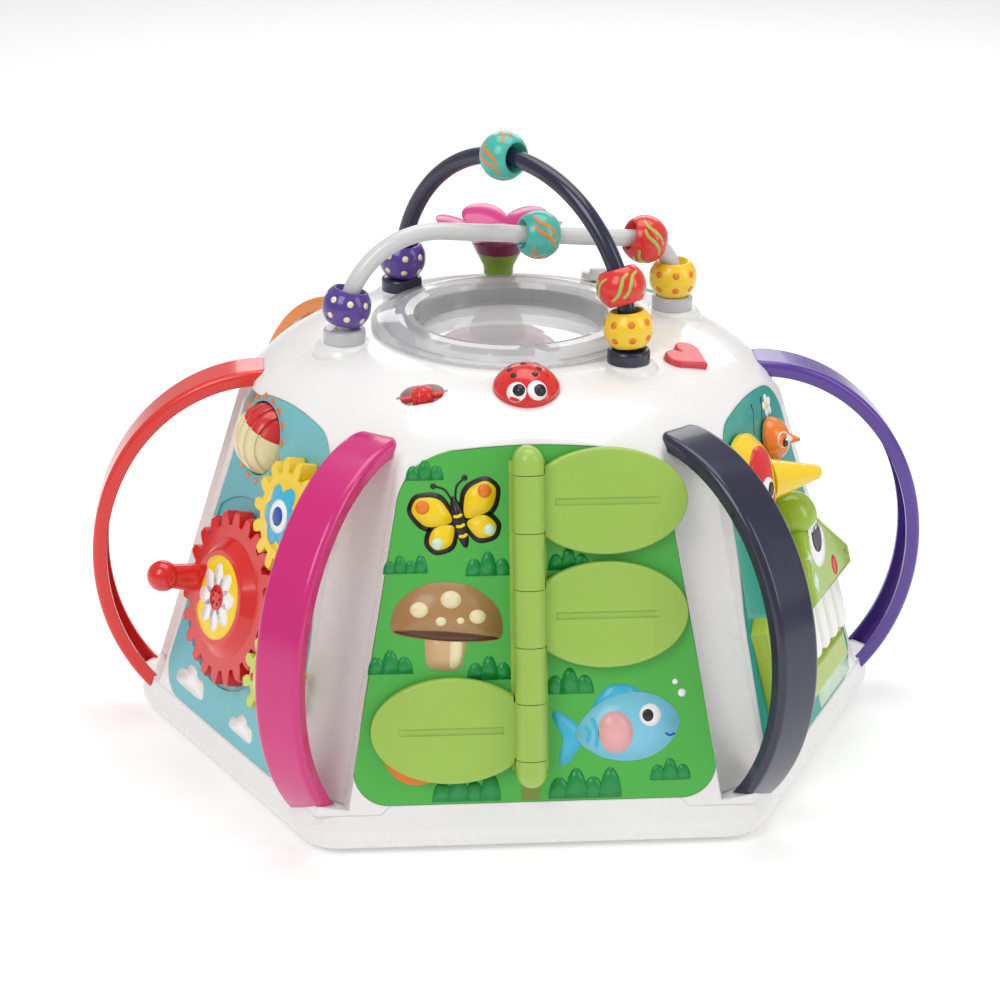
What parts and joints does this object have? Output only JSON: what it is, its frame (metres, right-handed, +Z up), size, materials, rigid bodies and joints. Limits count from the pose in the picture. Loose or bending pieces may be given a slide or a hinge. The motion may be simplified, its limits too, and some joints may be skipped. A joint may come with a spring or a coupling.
{
  "type": "activity pyramid",
  "caption": "Six-sided baby activity centre with a domed top, side handles, bead wires, a drum, gears, hinged leaves and press keys.",
  "frame": {"origin": "middle of the base, on the floor", "axes": "+Z up, -Y towards the side with the hinged leaves, +X to the right of it"},
  "size_m": [0.4396, 0.372, 0.3145],
  "materials": {
    "white_shell": "smooth gloss moulding",
    "clear_plastic": "clear moulded plastic",
    "green_print": "satin printed panel",
    "teal_print": "satin printed panel",
    "red_plastic": "smooth gloss moulding",
    "magenta_plastic": "smooth gloss moulding",
    "navy_plastic": "smooth gloss moulding",
    "purple_plastic": "smooth gloss moulding",
    "orange_plastic": "smooth gloss moulding",
    "yellow_plastic": "smooth gloss moulding",
    "green_plastic": "smooth gloss moulding",
    "teal_plastic": "smooth gloss moulding",
    "grey_plastic": "smooth gloss moulding",
    "cream_plastic": "smooth gloss moulding",
    "steel": "plain",
    "board": "printed circuit laminate",
    "rubber_feet": "matt rubber",
    "black_plastic": "matt"
  },
  "bodies": {
    "base": {"base_tray": "white_shell", "battery_door": "white_shell", "feet": "rubber_feet", "screws": "steel", "upper_shell": "white_shell", "circuit_board": "board", "speaker": "black_plastic", "front_panel": "green_print", "left_panel": "teal_print", "right_panel": "teal_print", "back_panel": "green_print", "back_left_panel": "teal_print", "back_right_panel": "teal_print", "handle_left": "red_plastic", "handle_front_left": "magenta_plastic", "handle_front_right": "navy_plastic", "handle_right": "purple_plastic", "handle_back_right": "teal_plastic", "handle_back_left": "orange_plastic", "hinge_column": "green_plastic", "hinge_pin": "steel", "gear_axles": "grey_plastic", "crocodile_head": "green_plastic", "crocodile_jaw": "green_plastic", "navy_wire": "navy_plastic", "grey_wire": "grey_plastic", "wire_collars": "navy_plastic"},
    "leaf_top": {"leaf_top": "green_plastic"},
    "leaf_middle": {"leaf_middle": "green_plastic"},
    "leaf_bottom": {"leaf_bottom": "green_plastic"},
    "big_gear": {"big_gear": "red_plastic"},
    "middle_gear": {"middle_gear": "yellow_plastic"},
    "small_gear": {"small_gear": "green_plastic"},
    "sun_roller": {"sun_roller": "cream_plastic"},
    "parrot": {"parrot_head": "red_plastic"},
    "chick": {"chick_head": "yellow_plastic"},
    "key_1": {"key_1": "cream_plastic"},
    "key_2": {"key_2": "cream_plastic"},
    "key_3": {"key_3": "cream_plastic"},
    "key_4": {"key_4": "cream_plastic"},
    "drum": {"drum_ring": "clear_plastic", "drum_disc": "clear_plastic"},
    "flower": {"flower_head": "magenta_plastic", "flower_stem": "green_plastic"},
    "ladybird": {"ladybird_button": "red_plastic"},
    "heart": {"heart_button": "red_plastic"},
    "roller": {"ribbed_roller": "red_plastic"},
    "switch": {"switch_knob": "grey_plastic"},
    "navy_bead_yellow": {"navy_bead_yellow": "yellow_plastic"},
    "navy_bead_red": {"navy_bead_red": "red_plastic"},
    "navy_bead_teal": {"navy_bead_teal": "teal_plastic"},
    "navy_bead_purple": {"navy_bead_purple": "purple_plastic"},
    "grey_bead_purple": {"grey_bead_purple": "purple_plastic"},
    "grey_bead_teal": {"grey_bead_teal": "teal_plastic"},
    "grey_bead_red": {"grey_bead_red": "red_plastic"},
    "grey_bead_yellow": {"grey_bead_yellow": "yellow_plastic"},
    "minute_hand": {"clock_minute_hand": "red_plastic"},
    "hour_hand": {"clock_hour_hand": "navy_plastic"},
    "slider": {"slider_knob": "red_plastic"},
    "spinner": {"spinner": "yellow_plastic"}
  },
  "joints": [
    {"name": "leaf_top_hinge", "type": "hinge", "parent": "base", "child": "leaf_top", "pos_m": [-0.0027, -0.14083, 0.17103], "axis": [0, -0.2607, -0.9654], "range_deg": [0, 170]},
    {"name": "leaf_middle_hinge", "type": "hinge", "parent": "base", "child": "leaf_middle", "pos_m": [-0.0027, -0.15528, 0.11754], "axis": [0, -0.2607, -0.9654], "range_deg": [0, 170]},
    {"name": "leaf_bottom_hinge", "type": "hinge", "parent": "base", "child": "leaf_bottom", "pos_m": [-0.0027, -0.16972, 0.06406], "axis": [0, 0.2607, 0.9654], "range_deg": [0, 170]},
    {"name": "big_gear_spin", "type": "hinge", "parent": "base", "child": "big_gear", "pos_m": [-0.14616, -0.06788, 0.09254], "axis": [-0.8571, -0.4443, 0.2607], "continuous": true},
    {"name": "middle_gear_spin", "type": "hinge", "parent": "base", "child": "middle_gear", "pos_m": [-0.11552, -0.09474, 0.14747], "axis": [-0.8571, -0.4443, 0.2607], "continuous": true},
    {"name": "small_gear_spin", "type": "hinge", "parent": "base", "child": "small_gear", "pos_m": [-0.12459, -0.12113, 0.07265], "axis": [-0.8571, -0.4443, 0.2607], "continuous": true},
    {"name": "sun_roller_spin", "type": "hinge", "parent": "base", "child": "sun_roller", "pos_m": [-0.12511, -0.03951, 0.16787], "axis": [0.4602, -0.8878, 0], "continuous": true},
    {"name": "parrot_turn", "type": "hinge", "parent": "base", "child": "parrot", "pos_m": [0.11466, -0.08984, 0.15867], "axis": [0.8571, -0.4443, 0.2607], "range_deg": [-30, 30]},
    {"name": "chick_turn", "type": "hinge", "parent": "base", "child": "chick", "pos_m": [0.13328, -0.04938, 0.16639], "axis": [0.8571, -0.4443, 0.2607], "range_deg": [-25, 25]},
    {"name": "key_1_press", "type": "slide", "parent": "base", "child": "key_1", "axis": [-0.8571, 0.4443, -0.2607], "range_m": [0, 0.003], "stiffness_N_per_m": 200, "springref_m": -0.002},
    {"name": "key_2_press", "type": "slide", "parent": "base", "child": "key_2", "axis": [-0.8571, 0.4443, -0.2607], "range_m": [0, 0.003], "stiffness_N_per_m": 200, "springref_m": -0.002},
    {"name": "key_3_press", "type": "slide", "parent": "base", "child": "key_3", "axis": [-0.8571, 0.4443, -0.2607], "range_m": [0, 0.003], "stiffness_N_per_m": 200, "springref_m": -0.002},
    {"name": "key_4_press", "type": "slide", "parent": "base", "child": "key_4", "axis": [-0.8571, 0.4443, -0.2607], "range_m": [0, 0.003], "stiffness_N_per_m": 200, "springref_m": -0.002},
    {"name": "drum_press", "type": "slide", "parent": "base", "child": "drum", "axis": [0, 0, -1], "range_m": [0, 0.001], "stiffness_N_per_m": 2500, "springref_m": -0.001},
    {"name": "flower_spin", "type": "hinge", "parent": "base", "child": "flower", "pos_m": [0, 0.085, 0.22], "axis": [0, 0, 1], "continuous": true},
    {"name": "ladybird_press", "type": "slide", "parent": "base", "child": "ladybird", "axis": [0, 0.2158, -0.9764], "range_m": [0, 0.002], "stiffness_N_per_m": 300, "springref_m": -0.002},
    {"name": "heart_press", "type": "slide", "parent": "base", "child": "heart", "axis": [-0.2428, 0.1374, -0.9603], "range_m": [0, 0.002], "stiffness_N_per_m": 300, "springref_m": -0.002},
    {"name": "roller_spin", "type": "hinge", "parent": "base", "child": "roller", "pos_m": [-0.05066, -0.08775, 0.20656], "axis": [0.9857, -0.0498, 0.1609], "continuous": true},
    {"name": "switch_turn", "type": "hinge", "parent": "base", "child": "switch", "pos_m": [0.05328, 0.07638, 0.2132], "axis": [0.1364, 0.1956, 0.9711], "range_deg": [-20, 20]},
    {"name": "navy_bead_yellow_spin", "type": "hinge", "parent": "base", "child": "navy_bead_yellow", "pos_m": [0.05334, -0.0605, 0.23119], "axis": [-0.0829, 0.094, 0.9921], "continuous": true},
    {"name": "navy_bead_red_run", "type": "hinge", "parent": "base", "child": "navy_bead_red", "pos_m": [0, 0, 0.221], "axis": [-0.7501, -0.6613, 0], "range_deg": [0, 25]},
    {"name": "navy_bead_teal_run", "type": "hinge", "parent": "base", "child": "navy_bead_teal", "pos_m": [0, 0, 0.221], "axis": [-0.7501, -0.6613, 0], "range_deg": [-20, 18]},
    {"name": "navy_bead_purple_run", "type": "hinge", "parent": "base", "child": "navy_bead_purple", "pos_m": [0, 0, 0.221], "axis": [0.7501, 0.6613, 0], "range_deg": [0, 40]},
    {"name": "grey_bead_purple_run", "type": "hinge", "parent": "base", "child": "grey_bead_purple", "pos_m": [-0.04182, -0.01082, 0.221], "axis": [-0.2504, 0.9681, 0], "range_deg": [0, 60]},
    {"name": "grey_bead_teal_run", "type": "slide", "parent": "base", "child": "grey_bead_teal", "axis": [0.9603, 0.2484, -0.1271], "range_m": [-0.02, 0.02]},
    {"name": "grey_bead_red_run", "type": "hinge", "parent": "base", "child": "grey_bead_red", "pos_m": [0.06361, 0.01645, 0.22973], "axis": [0.2504, -0.9681, 0], "range_deg": [0, 12]},
    {"name": "grey_bead_yellow_spin", "type": "hinge", "parent": "base", "child": "grey_bead_yellow", "pos_m": [0.08684, 0.02246, 0.2304], "axis": [0, 0, 1], "continuous": true},
    {"name": "minute_hand_turn", "type": "hinge", "parent": "base", "child": "minute_hand", "pos_m": [0, 0.15207, 0.11522], "axis": [0, 0.9654, 0.2607], "continuous": true},
    {"name": "hour_hand_turn", "type": "hinge", "parent": "base", "child": "hour_hand", "pos_m": [0, 0.14917, 0.11444], "axis": [0, 0.9654, 0.2607], "continuous": true},
    {"name": "knob_slide", "type": "slide", "parent": "base", "child": "slider", "axis": [-0.4602, -0.8878, 0], "range_m": [-0.029, 0.029]},
    {"name": "spinner_spin", "type": "hinge", "parent": "base", "child": "spinner", "pos_m": [0.1375, 0.07127, 0.11522], "axis": [0.8571, 0.4443, 0.2607], "continuous": true}
  ],
  "couplings": [
    {"joint": "middle_gear_spin", "follows": "big_gear_spin", "ratio": -1.5714},
    {"joint": "small_gear_spin", "follows": "big_gear_spin", "ratio": -2.2}
  ]
}
